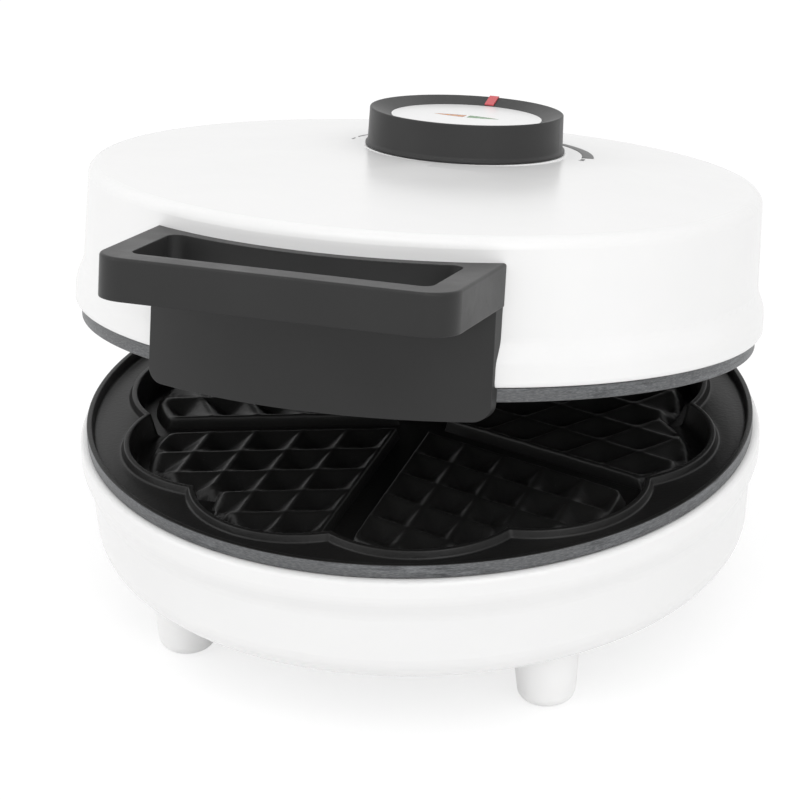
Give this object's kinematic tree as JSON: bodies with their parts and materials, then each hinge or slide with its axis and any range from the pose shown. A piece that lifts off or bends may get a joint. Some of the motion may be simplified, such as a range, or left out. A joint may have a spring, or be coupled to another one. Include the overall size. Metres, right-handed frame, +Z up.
{
  "type": "heart waffle iron",
  "caption": "Round household waffle iron with heart-pattern cast plates, a hinged domed lid with a loop handle, a browning dial and tapered feet.",
  "frame": {"origin": "centre of the bounding box at the surface the feet stand on; the plates' axis passes 0.1 mm from it", "axes": "+X to the right seen from the handle's side, +Y to the hinge at the back, +Z up"},
  "size_m": [0.2124, 0.259, 0.1619],
  "materials": {
    "white_plastic": "white moulded, satin gloss",
    "foot_plastic": "white moulded, satin gloss",
    "cover_plastic": "white moulded, fine matt grain",
    "coated_casting": "cast aluminium with a dark non-stick coating, grey rim band",
    "element_sheath": "heat-tinted steel tube",
    "pin_steel": "bright drawn steel",
    "sheet_steel": "zinc-plated pressed sheet",
    "reflector_sheet": "plain rolled sheet",
    "fuse_case": "plated cartridge",
    "terminal_ceramic": "unglazed ceramic",
    "gland_rubber": "light grey rubber",
    "screw_steel": "zinc-plated",
    "dark_plastic": "charcoal moulded, fine satin grain",
    "thermostat_body": "ceramic body",
    "holder_plastic": "natural heat-proof plastic",
    "lamp_glass": "clear glow lamp",
    "knob_plastic": "charcoal moulded, satin",
    "dial_plastic": "white moulded, satin gloss",
    "orange_lens": "orange tinted lens",
    "green_lens": "green tinted lens",
    "pointer_paint": "red marker"
  },
  "bodies": {
    "base": {"lower_housing": "white_plastic", "bottom_cover": "cover_plastic", "bottom_cover_screws": "screw_steel", "foot_front_left": "foot_plastic", "foot_front_right": "foot_plastic", "foot_rear_left": "foot_plastic", "foot_rear_right": "foot_plastic", "lower_plate": "coated_casting", "lower_heating_element": "element_sheath", "lower_element_pins": "pin_steel", "lower_element_clamps": "sheet_steel", "lower_clamp_screws": "screw_steel", "lower_reflector": "reflector_sheet", "lower_plate_screws": "screw_steel", "thermal_fuse": "fuse_case", "fuse_clip": "sheet_steel", "terminal_block": "terminal_ceramic", "terminal_screws": "screw_steel", "cord_gland": "gland_rubber", "hinge_pin": "pin_steel"},
    "lid": {"upper_housing": "white_plastic", "upper_plate": "coated_casting", "upper_heating_element": "element_sheath", "upper_element_pins": "pin_steel", "upper_element_clamps": "sheet_steel", "upper_clamp_screws": "screw_steel", "upper_reflector": "reflector_sheet", "upper_plate_screws": "screw_steel", "handle": "dark_plastic", "handle_screws": "screw_steel", "handle_washers": "screw_steel", "thermostat": "thermostat_body", "thermostat_bracket": "sheet_steel", "thermostat_screws": "screw_steel", "thermostat_nuts": "screw_steel", "lamp_holder": "holder_plastic", "pilot_lamps": "lamp_glass"},
    "knob": {"knob": "knob_plastic", "dial_disc": "dial_plastic", "window_heating": "orange_lens", "window_ready": "green_lens", "knob_pointer": "pointer_paint", "thermostat_shaft": "pin_steel"}
  },
  "joints": [
    {"name": "lid_hinge", "type": "hinge", "parent": "base", "child": "lid", "pos_m": [0, 0.11996, 0.07065], "axis": [-1, 0, 0], "range_deg": [-13.28, 81.72]},
    {"name": "knob_turn", "type": "hinge", "parent": "lid", "child": "knob", "pos_m": [0, 0.05165, 0.12931], "axis": [0, 0.2297, 0.9733], "range_deg": [-82, 82]}
  ]
}
